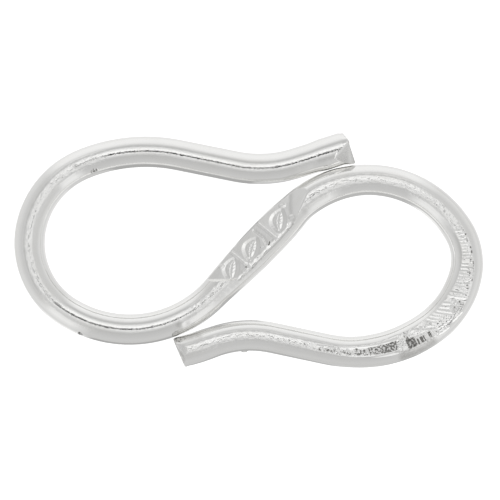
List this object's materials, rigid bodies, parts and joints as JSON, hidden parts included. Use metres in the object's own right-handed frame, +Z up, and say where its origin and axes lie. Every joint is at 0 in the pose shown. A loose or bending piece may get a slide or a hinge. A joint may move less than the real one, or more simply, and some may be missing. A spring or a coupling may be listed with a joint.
{
  "type": "s-hook clasp",
  "caption": "Double S-shaped hook clasp bent from one round silver wire, with a struck flat bar between two nearly closed hooks.",
  "frame": {"origin": "on the surface that the clasp lies on, under the middle of its outline", "axes": "+X along the clasp towards the hook with the plier marks, +Y across it towards the other hook's tip, +Z up out of the struck face of the bar"},
  "size_m": [0.0156, 0.008, 0.001],
  "materials": {
    "silver": "bright polished silver wire, with fine drawing lines, a struck panel on the bar and plier marks on one hook"
  },
  "bodies": {
    "root": {"s_hook": "silver"}
  },
  "joints": []
}
